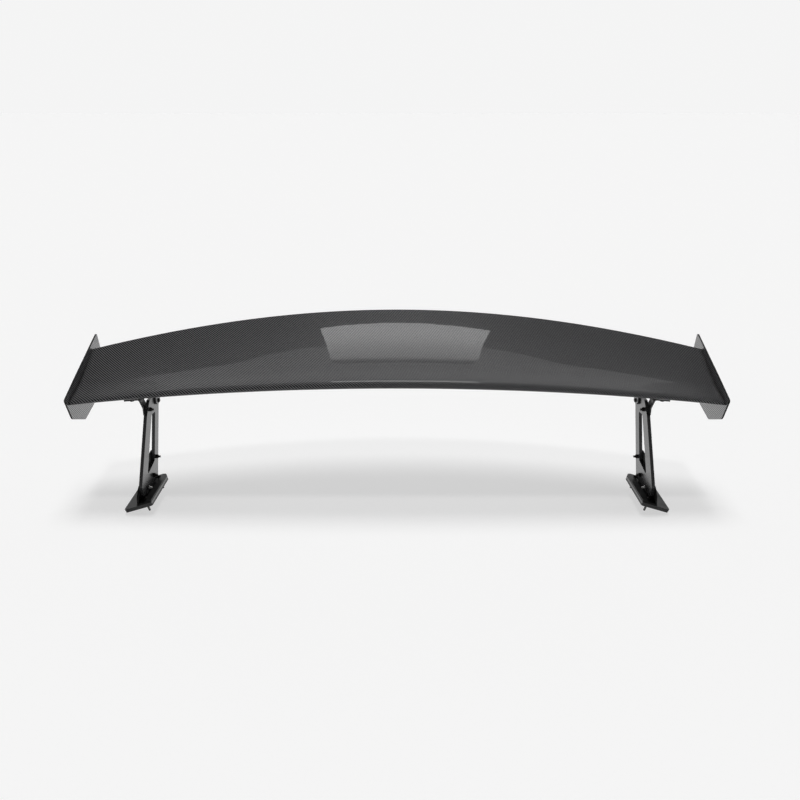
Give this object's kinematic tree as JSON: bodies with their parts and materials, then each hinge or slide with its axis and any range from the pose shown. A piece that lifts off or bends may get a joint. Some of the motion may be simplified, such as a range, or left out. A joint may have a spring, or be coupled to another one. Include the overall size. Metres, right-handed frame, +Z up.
{
  "type": "racing rear wing",
  "caption": "Racing rear wing: a cambered, arched carbon aerofoil with end plates, tilting on two raked alloy stands with padded feet.",
  "frame": {"origin": "on the ground under the middle of the bounding box", "axes": "+X along the span to the car's left, -Y to the front of the car, so the rounded leading edge is at -Y, +Z up"},
  "size_m": [1.6, 0.4361, 0.4047],
  "materials": {
    "carbon_skin": "clear-coated twill carbon fibre",
    "carbon_plate": "clear-coated twill carbon fibre sheet",
    "core": "raw laminate over foam",
    "hard_block": "machined",
    "black_alloy": "black anodised, satin",
    "rubber_pad": "matt",
    "steel_fastener": "stainless"
  },
  "bodies": {
    "stands": {"base_bolt_front_left": "steel_fastener", "base_bolt_front_right": "steel_fastener", "base_bolt_rear_left": "steel_fastener", "base_bolt_rear_right": "steel_fastener", "base_plate_left": "black_alloy", "base_plate_right": "black_alloy", "foot_bracket_left": "black_alloy", "foot_bracket_right": "black_alloy", "foot_front_bolt_left": "steel_fastener", "foot_front_bolt_right": "steel_fastener", "foot_front_nut_left": "steel_fastener", "foot_front_nut_right": "steel_fastener", "foot_middle_bolt_left": "steel_fastener", "foot_middle_bolt_right": "steel_fastener", "foot_middle_nut_left": "steel_fastener", "foot_middle_nut_right": "steel_fastener", "foot_pad_left": "rubber_pad", "foot_pad_right": "rubber_pad", "foot_rear_bolt_left": "steel_fastener", "foot_rear_bolt_right": "steel_fastener", "foot_rear_nut_left": "steel_fastener", "foot_rear_nut_right": "steel_fastener", "pivot_bolt_left": "steel_fastener", "pivot_bolt_right": "steel_fastener", "pivot_nut_left": "steel_fastener", "pivot_nut_right": "steel_fastener", "stand_plate_left": "black_alloy", "stand_plate_right": "black_alloy"},
    "wing": {"adjuster_bolt_left": "steel_fastener", "adjuster_bolt_right": "steel_fastener", "adjuster_nut_left": "steel_fastener", "adjuster_nut_right": "steel_fastener", "bracket_screw_inner_left": "steel_fastener", "bracket_screw_inner_right": "steel_fastener", "bracket_screw_outer_left": "steel_fastener", "bracket_screw_outer_right": "steel_fastener", "end_plate_left": "carbon_plate", "end_plate_right": "carbon_plate", "end_rib_left": "core", "end_rib_right": "core", "end_screw_front_left": "steel_fastener", "end_screw_front_right": "steel_fastener", "end_screw_middle_left": "steel_fastener", "end_screw_middle_right": "steel_fastener", "end_screw_rear_left": "steel_fastener", "end_screw_rear_right": "steel_fastener", "lower_skin": "carbon_skin", "main_spar": "core", "mount_block_left": "hard_block", "mount_block_right": "hard_block", "rear_spar": "core", "stay_screw_left": "steel_fastener", "stay_screw_right": "steel_fastener", "upper_skin": "carbon_skin", "wing_bracket_left": "black_alloy", "wing_bracket_right": "black_alloy", "wing_stay_left": "black_alloy", "wing_stay_right": "black_alloy"}
  },
  "joints": [
    {"name": "wing_angle", "type": "hinge", "parent": "stands", "child": "wing", "pos_m": [0, -0.106, 0.234], "axis": [1, 0, 0], "range_deg": [-5, 8]}
  ]
}
